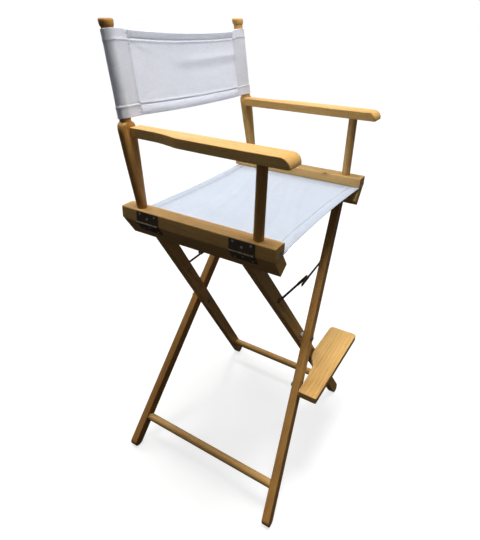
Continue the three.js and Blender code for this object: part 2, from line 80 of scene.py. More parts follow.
# ------------------------------------------------------------------ node building
class Mat:
    """A small helper that builds one procedural material."""

    def __init__(self, name):
        self.m = bpy.data.materials.new(name)
        self.m.use_nodes = True
        self.t = self.m.node_tree
        self.t.nodes.clear()
        self.out = self.t.nodes.new("ShaderNodeOutputMaterial")
        self.b = self.t.nodes.new("ShaderNodeBsdfPrincipled")
        self.t.links.new(self.b.outputs[0], self.out.inputs[0])

    def node(self, kind, **settings):
        n = self.t.nodes.new("ShaderNode" + kind)
        for k, v in settings.items():
            setattr(n, k, v)
        return n

    def put(self, socket, value):
        if isinstance(value, bpy.types.NodeSocket):
            self.t.links.new(value, socket)
        else:
            socket.default_value = value

    def math(self, op, a, b=None, c=None, clamp=False):
        n = self.node("Math", operation=op, use_clamp=clamp)
        for i, v in enumerate((a, b, c)):
            if v is not None:
                self.put(n.inputs[i], v)
        return n.outputs[0]

    def vmath(self, op, a, b=None, scale=None):
        n = self.node("VectorMath", operation=op)
        self.put(n.inputs[0], a)
        if b is not None:
            self.put(n.inputs[1], b)
        if scale is not None:
            self.put(n.inputs[3], scale)
        return n.outputs[1] if op in ("LENGTH", "DISTANCE", "DOT_PRODUCT") else n.outputs[0]

    def noise(self, vector, scale, detail=2.0, rough=0.5, distort=0.0):
        n = self.node("TexNoise")
        self.put(n.inputs["Vector"], vector)
        n.inputs["Scale"].default_value = scale
        n.inputs["Detail"].default_value = detail
        n.inputs["Roughness"].default_value = rough
        n.inputs["Distortion"].default_value = distort
        return n.outputs[0]

    def ramp(self, value, stops, interpolation="LINEAR"):
        n = self.node("ValToRGB")
        r = n.color_ramp
        r.interpolation = interpolation
        while len(r.elements) < len(stops):
            r.elements.new(0.5)
        for e, (pos, col) in zip(r.elements, stops):
            e.position = pos
            e.color = (*col, 1) if len(col) == 3 else col
        self.put(n.inputs[0], value)
        return n.outputs[0]

    def mix(self, kind, fac, a, b):
        n = self.node("Mix", data_type="RGBA", blend_type=kind)
        self.put(n.inputs[0], fac)
        self.put(n.inputs[6], a if not isinstance(a, tuple) else (*a, 1))
        self.put(n.inputs[7], b if not isinstance(b, tuple) else (*b, 1))
        return n.outputs[2]

    def span(self, value, a, b, lo, hi):
        n = self.node("MapRange")
        n.clamp = True
        self.put(n.inputs[0], value)
        for i, v in enumerate((a, b, lo, hi)):
            n.inputs[i + 1].default_value = v
        return n.outputs[0]

    def bump(self, height, strength, distance, normal=None):
        n = self.node("Bump")
        n.inputs["Strength"].default_value = strength
        n.inputs["Distance"].default_value = distance
        self.put(n.inputs["Height"], height)
        if normal is not None:
            self.put(n.inputs["Normal"], normal)
        return n.outputs[0]


def wood(name, grain, seed, tone_and_painted_shade=0.0, knot=None, figure=1.0):
    """Lacquered honey-coloured hardwood. grain is the direction of the fibres in the row frame."""
    m = Mat(name)
    rng = np.random.RandomState(seed)
    co = m.node("TexCoord").outputs["Object"]
    g = Vector(grain).normalized()
    turn = g.rotation_difference(Vector((0, 0, 1))).to_euler()
    mp = m.node("Mapping")
    m.put(mp.inputs[0], co)
    mp.inputs["Rotation"].default_value = turn
    mp.inputs["Location"].default_value = tuple(rng.uniform(-0.6, 0.6, 3))
    p = mp.outputs[0]
    # slow bending of the rings along the piece
    slow = m.vmath("MULTIPLY", p, (7.0, 7.0, 1.3))
    n = m.node("TexNoise")
    m.put(n.inputs["Vector"], slow)
    n.inputs["Scale"].default_value = 1.0
    n.inputs["Detail"].default_value = 3.0
    bend = m.vmath("SCALE", m.vmath("SUBTRACT", n.outputs[1], (0.5, 0.5, 0.5)), scale=0.014)
    q = m.vmath("ADD", p, bend)
    # growth rings about an axis beside the piece
    a = rng.uniform(0, 2 * math.pi)
    off = (0.045 * math.cos(a), 0.045 * math.sin(a), 0.0)
    w = m.node("TexWave", wave_type="RINGS", rings_direction="Z", wave_profile="SIN")
    m.put(w.inputs["Vector"], m.vmath("ADD", m.vmath("MULTIPLY", q, (1.0, 1.0, 0.05)), off))
    w.inputs["Scale"].default_value = 105.0
    w.inputs["Distortion"].default_value = 2.2
    w.inputs["Detail"].default_value = 2.0
    w.inputs["Detail Scale"].default_value = 1.6
    rings = w.outputs[1]
    # fibres and short dark pores
    fibre = m.noise(m.vmath("MULTIPLY", q, (620.0, 620.0, 16.0)), 1.0, 3.0, 0.6)
    pores = m.noise(m.vmath("MULTIPLY", p, (1500.0, 1500.0, 75.0)), 1.0, 1.0, 0.5)
    pore = m.span(pores, 0.60, 0.70, 0.0, 1.0)
    patch = m.noise(m.vmath("MULTIPLY", p, (14.0, 14.0, 2.6)), 1.0, 3.0, 0.55)
    f = m.math("ADD", m.math("MULTIPLY", rings, 0.075 * figure), m.math("MULTIPLY", fibre, 0.52))
    f = m.math("ADD", f, m.math("MULTIPLY", patch, 0.52))
    # tone shifts the whole piece lighter or darker; on the legs B and the near posts part of it is painted shade
    f = m.math("ADD", f, -0.055 + tone_and_painted_shade)
    col = m.ramp(f, [(0.12, (0.36, 0.165, 0.036)), (0.36, (0.54, 0.285, 0.078)), (0.58, (0.70, 0.42, 0.138)), (0.86, (0.84, 0.56, 0.225))])
    col = m.mix("MULTIPLY", m.math("MULTIPLY", pore, 0.45), col, (0.50, 0.33, 0.20))
    if knot is not None:
        (kx, ky, kz), kr = knot
        d = m.vmath("DISTANCE", m.vmath("MULTIPLY", co, (1.0, 0.75, 1.0)), (kx, ky * 0.75, kz))
        d = m.math("ADD", d, m.math("MULTIPLY", m.math("SUBTRACT", fibre, 0.5), kr * 0.4))
        core = m.span(d, kr * 0.45, kr, 1.0, 0.0)
        halo = m.span(d, kr, kr * 3.2, 0.55, 0.0)
        col = m.mix("MIX", halo, col, (0.50, 0.25, 0.08))
        col = m.mix("MIX", m.math("MULTIPLY", core, 0.85), col, (0.13, 0.055, 0.018))
    # edges rubbed a little paler
    bev = m.node("Bevel", samples=4)
    bev.inputs["Radius"].default_value = 0.0022
    geo = m.node("NewGeometry")
    edge = m.math("SUBTRACT", 1.0, m.vmath("DOT_PRODUCT", bev.outputs[0], geo.outputs["Normal"]))
    rub = m.noise(m.vmath("SCALE", co, scale=90.0), 1.0, 2.0, 0.6)
    edge = m.math("MULTIPLY", m.span(edge, 0.02, 0.22, 0.0, 1.0), m.span(rub, 0.35, 0.7, 0.15, 0.75))
    col = m.mix("MIX", m.math("MULTIPLY", edge, 0.35), col, (0.84, 0.60, 0.31))
    m.put(m.b.inputs["Base Color"], col)
    smudge = m.noise(m.vmath("SCALE", co, scale=22.0), 1.0, 4.0, 0.6)
    rough = m.math("ADD", m.math("MULTIPLY", smudge, 0.16), 0.34)
    rough = m.math("ADD", rough, m.math("MULTIPLY", pore, 0.12))
    m.put(m.b.inputs["Roughness"], rough)
    m.b.inputs["Specular IOR Level"].default_value = 0.38
    m.b.inputs["Coat Weight"].default_value = 0.08
    m.b.inputs["Coat Roughness"].default_value = 0.22
    h = m.math("SUBTRACT", m.math("MULTIPLY", fibre, 0.5), m.math("MULTIPLY", pore, 0.7))
    h = m.math("ADD", h, m.math("MULTIPLY", rings, 0.15))
    m.put(m.b.inputs["Normal"], m.bump(h, 0.35, 0.00022))
    return m.m


def steel(name, base=(0.40, 0.385, 0.36), seed=1, lines=(1, 0, 0), dull=0.0):
    """Plated steel with fine rolling marks and a few small dirty spots."""
    m = Mat(name)
    co = m.node("TexCoord").outputs["Object"]
    sc = tuple(60.0 if abs(c) > 0.5 else 1400.0 for c in lines)
    brush = m.noise(m.vmath("MULTIPLY", m.vmath("ADD", co, (seed * 0.37, seed * 0.11, seed * 0.23)), sc), 1.0, 2.0, 0.55)
    blot = m.noise(m.vmath("SCALE", co, scale=170.0), 1.0, 4.0, 0.65)
    col = m.ramp(m.math("ADD", m.math("MULTIPLY", blot, 0.7), m.math("MULTIPLY", brush, 0.3)),
                 [(0.3, tuple(0.62 * c for c in base)), (0.5, base), (0.75, tuple(min(1.0, 1.22 * c) for c in base))])
    spots = m.span(m.noise(m.vmath("SCALE", co, scale=420.0), 1.0, 2.0, 0.5), 0.66, 0.74, 0.0, 0.55)
    col = m.mix("MIX", spots, col, (0.16, 0.115, 0.08))
    m.put(m.b.inputs["Base Color"], col)
    m.b.inputs["Metallic"].default_value = 0.94
    m.put(m.b.inputs["Roughness"], m.math("ADD", m.math("MULTIPLY", blot, 0.26), 0.26 + dull))
    m.put(m.b.inputs["Normal"], m.bump(m.math("ADD", brush, m.math("MULTIPLY", blot, 0.4)), 0.25, 0.00008))
    return m.m


def nylon(name):
    m = Mat(name)
    co = m.node("TexCoord").outputs["Object"]
    n1 = m.noise(m.vmath("SCALE", co, scale=260.0), 1.0, 3.0, 0.6)
    col = m.ramp(n1, [(0.3, (0.66, 0.64, 0.58)), (0.7, (0.80, 0.79, 0.74))])
    m.put(m.b.inputs["Base Color"], col)
    m.put(m.b.inputs["Roughness"], m.span(n1, 0.2, 0.8, 0.38, 0.55))
    m.b.inputs["Subsurface Weight"].default_value = 0.15
    m.b.inputs["Subsurface Radius"].default_value = (0.002, 0.002, 0.002)
    m.put(m.b.inputs["Normal"], m.bump(n1, 0.2, 0.00006))
    return m.m


def canvas(name, base, pitch=0.00125, thread=False, glow=0.34):
    """Heavy plain-weave cotton canvas. The weave follows the cloth's own lengthwise and crosswise distances."""
    m = Mat(name)
    at = m.node("Attribute", attribute_name="cloth")
    uv = at.outputs["Vector"]
    sep = m.node("SeparateXYZ")
    m.put(sep.inputs[0], uv)
    u, v = sep.outputs[0], sep.outputs[1]
    slub_u = m.noise(m.vmath("MULTIPLY", uv, (45.0, 1100.0, 1.0)), 1.0, 2.0, 0.6)
    slub_v = m.noise(m.vmath("MULTIPLY", uv, (1100.0, 45.0, 1.0)), 1.0, 2.0, 0.6)
    wob = m.math("MULTIPLY", m.math("SUBTRACT", m.noise(m.vmath("SCALE", uv, scale=60.0), 1.0, 2.0), 0.5), 0.0012)
    su = m.math("SINE", m.math("MULTIPLY", m.math("ADD", u, wob), 2 * math.pi / pitch))
    sv = m.math("SINE", m.math("MULTIPLY", m.math("ADD", v, wob), 2 * math.pi / pitch))
    weave = m.math("MULTIPLY", su, sv)
    lumps = m.noise(m.vmath("SCALE", uv, scale=330.0), 1.0, 3.0, 0.65)
    cloud = m.noise(m.vmath("SCALE", uv, scale=14.0), 1.0, 3.0, 0.55)
    f = m.math("ADD", m.math("MULTIPLY", slub_u, 0.30), m.math("MULTIPLY", slub_v, 0.30))
    f = m.math("ADD", f, m.math("MULTIPLY", lumps, 0.28))
    f = m.math("ADD", f, m.math("MULTIPLY", weave, 0.06))
    f = m.math("ADD", f, m.math("MULTIPLY", cloud, 0.16))
    lo, hi = tuple(c * 0.74 for c in base), tuple(min(1.0, c * 1.09) for c in base)
    col = m.ramp(f, [(0.28, lo), (0.52, base), (0.78, hi)])
    m.put(m.b.inputs["Base Color"], col)
    m.put(m.b.inputs["Roughness"], m.span(lumps, 0.2, 0.8, 0.82, 0.97))
    m.b.inputs["Specular IOR Level"].default_value = 0.25
    m.b.inputs["Sheen Weight"].default_value = 0.18
    m.b.inputs["Sheen Roughness"].default_value = 0.5
    h = m.math("ADD", m.math("MULTIPLY", weave, 0.35), m.math("MULTIPLY", m.math("ADD", slub_u, slub_v), 0.6))
    h = m.math("ADD", h, m.math("MULTIPLY", lumps, 0.5))
    normal = m.bump(h, 0.75, 0.00055)
    m.put(m.b.inputs["Normal"], normal)
    if glow:
        tr = m.node("BsdfTranslucent")
        m.put(tr.inputs[0], col)
        m.put(tr.inputs[1], normal)
        mx = m.node("MixShader")
        mx.inputs[0].default_value = glow
        m.t.links.new(m.b.outputs[0], mx.inputs[1])
        m.t.links.new(tr.outputs[0], mx.inputs[2])
        m.t.links.new(mx.outputs[0], m.out.inputs[0])
    return m.m


def thread_material(name, base):
    m = Mat(name)
    co = m.node("TexCoord").outputs["Object"]
    n1 = m.noise(m.vmath("SCALE", co, scale=1500.0), 1.0, 2.0, 0.6)
    col = m.ramp(n1, [(0.3, tuple(0.85 * c for c in base)), (0.7, base)])
    m.put(m.b.inputs["Base Color"], col)
    m.b.inputs["Roughness"].default_value = 0.7
    m.b.inputs["Sheen Weight"].default_value = 0.2
    m.put(m.b.inputs["Normal"], m.bump(n1, 0.5, 0.0002))
    return m.m


# ------------------------------------------------------------------ CAD nodes: finish and softened edges
TILT = math.radians(35.37)
SA, CA = math.sin(TILT), math.cos(TILT)
GRAIN_A = (SA, 0, -CA)      # frame A runs down towards +X
GRAIN_B = (-SA, 0, -CA)
# Each entry: grain direction, seed, tone. The much darker tone of leg_b_front, leg_b_rear, post_front_near and
# post_rear_near is partly painted shade.
WOOD = {
    "leg_a_front": (GRAIN_A, 11, -0.05), "leg_a_rear": (GRAIN_A, 12, -0.06),
    "leg_b_front": (GRAIN_B, 13, -0.24), "leg_b_rear": (GRAIN_B, 14, -0.30),
    "stretcher_a": ((0, 1, 0), 15, 0.0), "stretcher_b": ((0, 1, 0), 16, 0.0),
    "lower_rail_a": ((0, 1, 0), 17, -0.07), "lower_rail_b": ((0, 1, 0), 18, 0.0),
    "seat_rail_near": ((0, 1, 0), 19, -0.02), "seat_rail_far": ((0, 1, 0), 20, 0.11),
    "post_front_near": ((0, 0, 1), 21, -0.28), "post_front_far": ((0, 0, 1), 22, 0.0),
    "post_rear_near": ((0, 0.174, 1), 23, -0.30), "post_rear_far": ((0, 0.174, 1), 24, 0.03),
    "armrest_near": ((0, 1, 0), 25, 0.04), "armrest_far": ((0, 1, 0), 26, 0.04),
    "footrest_plank": ((1, 0, 0), 27, 0.05),
    "seat_dowel_near": ((0, 1, 0), 28, 0.03), "seat_dowel_far": ((0, 1, 0), 29, 0.03),
}
ROUNDING = {
    "armrest_near": 1.7, "armrest_far": 1.7, "footrest_plank": 1.6,
    "leg_a_front": 1.5, "leg_a_rear": 1.5, "leg_b_front": 1.5, "leg_b_rear": 1.5,
    "seat_rail_near": 0.9, "seat_rail_far": 0.9, "lower_rail_a": 1.3, "lower_rail_b": 1.3,
    "seat_dowel_near": 0.5, "seat_dowel_far": 0.5,
    "stretcher_a": 0, "stretcher_b": 0, "post_front_near": 0, "post_front_far": 0,
    "post_rear_near": 0, "post_rear_far": 0,
}


def dress(node, material, rounding, segments=3, angle=38):
    o = NODES[node]
    me = o.data
    me.materials.clear()
    me.materials.append(material)
    for p in me.polygons:
        p.material_index = 0
        p.use_smooth = True
    for attr in ("custom_normal", "sharp_edge", "sharp_face"):
        if attr in me.attributes:
            me.attributes.remove(me.attributes[attr])
    weld = o.modifiers.new("weld", "WELD")
    weld.merge_threshold = 0.00002
    if rounding:
        b = o.modifiers.new("round", "BEVEL")
        b.width = rounding * MM
        b.segments = segments
        b.limit_method = "ANGLE"
        b.angle_limit = math.radians(angle)
        b.use_clamp_overlap = False
        b.miter_outer = "MITER_ARC"
        b.harden_normals = False
        wn = o.modifiers.new("normals", "WEIGHTED_NORMAL")
        wn.keep_sharp = True
        wn.weight = 60
    else:
        s = o.modifiers.new("split", "EDGE_SPLIT")
        s.split_angle = math.radians(angle)


for node, (grain, seed, tone_and_painted_shade) in WOOD.items():
    knot = None
    if node == "seat_rail_far":
        knot = ((0.2318, -0.083, 0.7790), 0.0042)
    figure = 1.5 if node in ("armrest_near", "armrest_far", "footrest_plank") else 1.0
    dress(node, wood("wood_" + node, grain, seed, tone_and_painted_shade, knot, figure), ROUNDING[node])

# The dark brown base of the hinge leaves, pins and brace links is partly painted shade: it stands in for dark
# reflections on plated steel.
steel_leaf = steel("steel_leaf", lines=(0, 1, 0), base=(0.19, 0.150, 0.108), dull=0.08)
steel_pin = steel("steel_pin", lines=(0, 1, 0), seed=2, base=(0.2, 0.17, 0.14))
steel_bolt = steel("steel_bolt", base=(0.30, 0.28, 0.25), seed=3)
steel_brace = steel("steel_brace", base=(0.21, 0.15, 0.105), seed=4, lines=(1, 0, 0))
steel_screw = steel("steel_screw", base=(0.62, 0.59, 0.54), seed=5, dull=0.1)
for node in NODES:
    if node.startswith("hinge_pin"):
        dress(node, steel_pin, 0)
    elif node.startswith("hinge_"):
        dress(node, steel_leaf, 0.3, segments=2)
    elif node.startswith("brace_link"):
        dress(node, steel_brace, 0.35, segments=2)
    elif node.startswith("brace_rivet") or node.startswith(("pivot_bolt", "footrest_bolt", "footrest_peg")):
        dress(node, steel_bolt, 0, angle=30)
    elif node.startswith(("pivot_nut", "footrest_nut")):
        dress(node, steel_bolt, 0.35, segments=2)
    elif node.startswith("pivot_spacer"):
        dress(node, nylon("nylon_" + node), 0.5)


# ------------------------------------------------------------------ cloth
def smooth(x, a, b):
    t = np.clip((x - a) / (b - a), 0, 1)
    return t * t * (3 - 2 * t)


def bumpy(u, v, cell, seed, octaves=3):
    """Smooth noise from -1 to 1, on a seeded lattice. u, v and cell in mm."""
    out, amp, total = 0.0, 1.0, 0.0
    for k in range(octaves):
        grid = np.random.RandomState(seed + 31 * k).uniform(-1, 1, (97, 97))
        x, y = np.asarray(u) / cell + 40.3, np.asarray(v) / cell + 40.7
        i, j = np.floor(x).astype(int), np.floor(y).astype(int)
        fx, fy = x - i, y - j
        fx, fy = fx * fx * (3 - 2 * fx), fy * fy * (3 - 2 * fy)
        g = lambda a, b: grid[a % 97, b % 97]
        val = (g(i, j) * (1 - fx) + g(i + 1, j) * fx) * (1 - fy) + (g(i, j + 1) * (1 - fx) + g(i + 1, j + 1) * fx) * fy
        out, total = out + amp * val, total + amp
        amp, cell = amp * 0.5, cell * 0.5
    return out / total


class Line:
    """A dense polyline in (a, b), with its arc length and its left-hand normal."""

    def __init__(self, points):
        pts = np.array(points, float)
        for _ in range(3):
            q = 0.75 * pts[:-1] + 0.25 * pts[1:]
            r = 0.25 * pts[:-1] + 0.75 * pts[1:]
            pts = np.vstack([pts[:1], np.stack([q, r], 1).reshape(-1, 2), pts[-1:]])
        seg = np.linalg.norm(np.diff(pts, axis=0), axis=1)
        s = np.concatenate([[0], np.cumsum(seg)])
        self.length = s[-1]
        self.s = np.linspace(0, s[-1], int(s[-1] / 0.2))
        self.a = np.interp(self.s, s, pts[:, 0])
        self.b = np.interp(self.s, s, pts[:, 1])
        k = 3
        da = np.gradient(self.a, self.s)
        db = np.gradient(self.b, self.s)
        ker = np.ones(2 * k + 1) / (2 * k + 1)
        da = np.convolve(np.pad(da, k, mode="edge"), ker, "valid")
        db = np.convolve(np.pad(db, k, mode="edge"), ker, "valid")
        n = np.hypot(da, db)
        self.na, self.nb = -db / n, da / n

    def at(self, s):
        f = lambda y: np.interp(s, self.s, y)
        na, nb = f(self.na), f(self.nb)
        k = np.hypot(na, nb)
        return f(self.a), f(self.b), na / k, nb / k

    def grid(self, step):
        """Stations along the line, step(a) mm apart."""
        out, s = [0.0], 0.0
        while s < self.length:
            a = float(np.interp(s, self.s, self.a))
            s += step(a)
            out.append(min(s, self.length))
        if self.length - out[-2] < 0.3:
            out.pop(-2)
        return np.array(out)


class Cloth:
    """A sheet that follows a Line across, and runs length mm along axis."""

    def __init__(self, line, origin, ea, eb, et, length, along, push):
        self.line, self.length, self.along, self.push = line, length, along, push
        self.o, self.ea, self.eb, self.et = (np.array(v, float) for v in (origin, ea, eb, et))

    def frame(self, s, t):
        a, b, na, nb = self.line.at(s)
        d, h = self.push(a, s, t)
        tt = self.along(a, t)
        p = self.o + a[..., None] * self.ea + b[..., None] * self.eb + tt[..., None] * self.et
        n = na[..., None] * self.ea + nb[..., None] * self.eb
        return p + d[..., None] * n, n, h

    def build(self, name, s, t, material):
        S, T = np.meshgrid(s, t, indexing="ij")
        P, N, H = self.frame(S, T)
        m, n = S.shape
        K = 2 * n + 2
        V = np.zeros((m, K, 3))
        A = np.zeros((m, K, 2))
        out, inn = P + N * H[..., None], P - N * H[..., None]
        V[:, :n], V[:, n + 1:2 * n + 1] = inn, out[:, ::-1]
        V[:, n] = P[:, -1] + self.et * (H[:, -1, None] * 0.9)
        V[:, 2 * n + 1] = P[:, 0] - self.et * (H[:, 0, None] * 0.9)
        ST = np.stack([S, T], -1)
        A[:, :n], A[:, n + 1:2 * n + 1] = ST, ST[:, ::-1]
        A[:, n], A[:, 2 * n + 1] = ST[:, -1], ST[:, 0]
        i = np.arange(m - 1)[:, None] * K
        k = np.arange(K)[None, :]
        k1 = (k + 1) % K
        quads = np.stack([i + k, i + k1, i + K + k1, i + K + k], -1).reshape(-1, 4).tolist()
        for row, flip in ((0, False), (m - 1, True)):
            base = row * K
            caps = [[base + j, base + j + 1, base + 2 * n - j - 1, base + 2 * n - j] for j in range(n - 1)]
            caps += [[base + n - 1, base + n, base + n + 1], [base + 2 * n, base + 2 * n + 1, base]]
            quads += [c[::-1] if flip else c for c in caps]
        me = bpy.data.meshes.new(name)
        me.from_pydata((V.reshape(-1, 3) * MM).tolist(), [], quads)
        at = me.attributes.new("cloth", "FLOAT_VECTOR", "POINT")
        vals = np.zeros((m * K, 3), np.float32)
        vals[:, :2] = A.reshape(-1, 2) * MM
        at.data.foreach_set("vector", vals.ravel())
        bm = bmesh.new()
        bm.from_mesh(me)
        bmesh.ops.recalc_face_normals(bm, faces=bm.faces)
        for f in bm.faces:
            f.smooth = True
        bm.to_mesh(me)
        bm.free()
        me.materials.append(material)
        o = bpy.data.objects.new(name, me)
        scene.collection.objects.link(o)
        return o

    def stitches(self, name, rows, material, pitch=3.6, size=2.5, radius=0.3):
        """rows: (list of (s, t) corners, side). Small proud threads, sunk a little into the cloth."""
        verts, faces = [], []
        ring = [(math.cos(2 * math.pi * k / 6), math.sin(2 * math.pi * k / 6)) for k in range(6)]
        prof = [(-1.0, 0.25), (-0.6, 0.9), (0.0, 1.0), (0.6, 0.9), (1.0, 0.25)]
        for corners, side in rows:
            c = np.array(corners, float)
            seg = np.linalg.norm(np.diff(c, axis=0), axis=1)
            cum = np.concatenate([[0], np.cumsum(seg)])
            at = np.arange(pitch / 2, cum[-1], pitch)
            for off in (0,):
                s0, t0 = np.interp(at - size / 2, cum, c[:, 0]), np.interp(at - size / 2, cum, c[:, 1])
                s1, t1 = np.interp(at + size / 2, cum, c[:, 0]), np.interp(at + size / 2, cum, c[:, 1])
                p0, n0, h0 = self.frame(s0, t0)
                p1, n1, h1 = self.frame(s1, t1)
                p0, p1 = p0 + side * n0 * (h0[:, None] + 0.10), p1 + side * n1 * (h1[:, None] + 0.10)
                for A, B, Nn in zip(p0, p1, n0 * side):
                    d = B - A
                    L = np.linalg.norm(d)
                    if L < 0.3:
                        continue
                    d = d / L
                    y = np.cross(d, Nn)
                    y /= max(np.linalg.norm(y), 1e-9)
                    base = len(verts)
                    mid = (A + B) / 2
                    for f, r in prof:
                        lift = 0.16 * (1 - f * f)
                        for cx, cy in ring:
                            verts.append(mid + d * f * L / 2 + (Nn * (cx * radius * r + lift) + y * cy * radius * r * 1.15))
                    for i in range(len(prof) - 1):
                        for k in range(6):
                            k1 = (k + 1) % 6
                            faces.append([base + i * 6 + k, base + i * 6 + k1, base + i * 6 + 6 + k1, base + i * 6 + 6 + k])
                    faces.append([base + k for k in range(5, -1, -1)])
                    faces.append([base + 24 + k for k in range(6)])
        me = bpy.data.meshes.new(name)
        me.from_pydata([tuple(v * MM) for v in verts], [], faces)
        bm = bmesh.new()
        bm.from_mesh(me)
        bmesh.ops.recalc_face_normals(bm, faces=bm.faces)
        for f in bm.faces:
            f.smooth = True
        bm.to_mesh(me)
        bm.free()
        me.materials.append(material)
        o = bpy.data.objects.new(name, me)
        scene.collection.objects.link(o)
        return o


def arc(cx, cy, r, a0, a1, n):
    return [(cx + r * math.cos(math.radians(a0 + (a1 - a0) * k / n)), cy + r * math.sin(math.radians(a0 + (a1 - a0) * k / n))) for k in range(n + 1)]


# --- back panel: one strip, looped round both posts' dowels and stitched to itself behind
RAKE = 0.174
RK = math.atan(RAKE)
BACK_T = 172 / math.cos(RK)
X_P, R_LOOP, STITCH, FLAP = 253.0, 13.55, 44.0, 51.0
phi = math.degrees(math.acos(R_LOOP / STITCH))
B_WEB = 5.0                       # the panel lies a little in front of the dowels' centres
near = [(-X_P + FLAP, B_WEB - 1.45), (-X_P + STITCH + 3, B_WEB - 1.45), (-X_P + STITCH, B_WEB - 1.45)]
tilt = math.degrees(math.atan2(B_WEB, STITCH))
near += arc(-X_P, 0, R_LOOP, -phi + tilt - 1.8, -360 + phi + tilt, 40)
near += [(-X_P + STITCH, B_WEB), (-X_P + STITCH + 3, B_WEB)]
far = [(-a, b) for a, b in near][::-1]
back_line = Line(near + far)
y_lo = 163.5 + RAKE * (978 - 779) - 0.22
S_TOT = back_line.length
s_of = lambda a_target, lo, hi: float(np.interp(a_target, back_line.a[(back_line.s > lo) & (back_line.s < hi)], back_line.s[(back_line.s > lo) & (back_line.s < hi)]))
S_NEAR = s_of(-X_P + STITCH, 90, S_TOT / 2)          # where the near sleeve's stitch line crosses the front layer
S_FAR = S_TOT - S_NEAR


def back_edges(a):
    mid = np.clip(1 - ((a - 35) / 240.0) ** 2, 0, 1)
    inner = 1 - smooth(np.abs(a), 205, 226)
    top = BACK_T - 8 - 5 * a / X_P - 8.6 * mid * inner - 1.0 * inner * smooth(-a, -50, 210)
    low = -8 - 5 * a / X_P - 4.6 * mid * inner
    return low, top


def back_along(a, t):
    low, top = back_edges(a)
    return low + (top - low) * t / BACK_T


def back_push(a, s, t):
    front = (s > S_NEAR - 60) & (s < S_FAR + 60)
    on_panel = smooth(s, S_NEAR - 1, S_NEAR + 9) * (1 - smooth(s, S_FAR - 9, S_FAR + 1))
    flap = np.maximum(1 - smooth(s, 8, 10), smooth(s, S_TOT - 10, S_TOT - 8))
    low, top = back_edges(a)
    k = (top - low) / BACK_T
    e_top, e_low = (BACK_T - t) * k, t * k
    w_top = 23.0 - 7.6 * on_panel
    w_low = 25.0 - 4.5 * on_panel
    h = np.full_like(a, 0.62)
    # hems: folded double, so thicker, with a sewn groove at the inner edge
    in_top, in_low = 1 - smooth(e_top, w_top - 0.8, w_top + 0.4), 1 - smooth(e_low, w_low - 0.8, w_low + 0.4)
    lift = 0.42 * np.maximum(in_top, in_low)
    h = h + lift * 0.55
    d = lift * 0.5
    u = np.clip(e_top / w_top, 0, 1)
    d = d + on_panel * 4.6 * (1 - u) ** 0.85 * smooth(e_top, -1.5, 2.2) * (e_top < w_top)
    u = np.clip(e_low / w_low, 0, 1)
    d = d + on_panel * 2.2 * np.sin(np.pi * u) ** 0.8 * (e_low < w_low)
    groove = np.exp(-((e_top - w_top - 1.1) / 1.25) ** 2)
    d = d - on_panel * 2.3 * groove - (1 - on_panel) * 0.7 * groove
    d = d + on_panel * 1.5 * np.exp(-((e_top - w_top - 5.0) / 2.8) ** 2)
    groove = np.exp(-((e_low - w_low - 0.6) / 1.0) ** 2)
    d = d - on_panel * 1.7 * groove - (1 - on_panel) * 0.8 * groove
    d = d + on_panel * 1.1 * np.exp(-((e_low - w_low - 4.6) / 2.6) ** 2)
    groove = np.exp(-((s - S_NEAR) / 1.0) ** 2) + np.exp(-((s - S_FAR) / 1.0) ** 2)
    d = d - 0.3 * groove
    groove = np.exp(-((s - S_NEAR - 4.6) / 1.5) ** 2) + np.exp(-((s - S_FAR + 4.6) / 1.5) ** 2)
    d = d + 0.25 * groove
    # puckers along the sewn lines
    d = d + 0.42 * np.sin(t * 2 * np.pi / 7.3 + 1.3 * np.sin(t / 11)) * np.exp(-(np.minimum(np.abs(s - S_NEAR), np.abs(s - S_FAR)) / 5.0) ** 2)
    d = d + 0.40 * np.sin(s * 2 * np.pi / 8.1 + 1.7 * np.sin(s / 17)) * on_panel * (np.exp(-((e_top - w_top - 2) / 4.0) ** 2) + np.exp(-((e_low - w_low - 2) / 4.0) ** 2))
    # slack: a soft fold that climbs to the far upper corner, and broad ripples
    y_line = 108 + 0.020 * (a + 90)
    d = d + on_panel * 1.9 * np.exp(-((t - y_line) / 11.0) ** 2) * smooth(a, -120, 60) * (1 - 0.5 * smooth(a, 170, 215))
    d = d - on_panel * 1.1 * np.exp(-((t - y_line + 21) / 13.0) ** 2) * smooth(a, -100, 80)
    d = d - on_panel * 2.6 * np.clip(1 - (a / 212) ** 2, 0, 1) * np.sin(np.pi * np.clip(t / BACK_T, 0, 1))
    d = d + on_panel * 1.0 * bumpy(a, t * 1.6, 95, 5) + on_panel * 0.30 * bumpy(a, t, 26, 9)
    # folds pulled in towards the sleeve ends
    for a0, t0, dx, dy, amp in ((-208, BACK_T - 18, 1, -0.35, 0.9), (-208, 24, 1, 0.28, 0.9), (208, BACK_T - 18, -1, -0.25, 0.8), (208, 22, -1, 0.3, 0.7)):
        L = math.hypot(dx, dy)
        run = ((a - a0) * dx + (t - t0) * dy) / L
        side = (-(a - a0) * dy + (t - t0) * dx) / L
        d = d + on_panel * amp * np.exp(-(side / 6.0) ** 2) * smooth(run, 0, 14) * (1 - smooth(run, 30, 95))
    # sleeves: slight creasing round the post, more at the ends
    sl = (1 - on_panel) * (1 - flap)
    d = d + sl * 0.9 * np.exp(-((e_low - w_low + 3.2) / 3.0) ** 2) + sl * 0.7 * np.exp(-((e_top - w_top + 3.0) / 3.2) ** 2)
    ends = np.exp(-np.minimum(e_top, e_low) / 26.0)
    d = d + sl * (0.30 + 0.5 * ends) * bumpy(s * 0.45, t, 13, 21) + sl * 0.35 * ends * np.sin(s / 3.1 + 0.05 * t)
    d = np.where(flap > 0.5, 0.15 * bumpy(s, t, 20, 3), d)
    return d, h


# the loop may not press into the dowel
def back_push_safe(a, s, t):
    d, h = back_push(a, s, t)
    loop = ((s > 6) & (s < S_NEAR - 12)) | ((s > S_FAR + 12) & (s < S_TOT - 6))
    d = np.where(loop, np.maximum(d, h - 0.58), d)
    return d, h


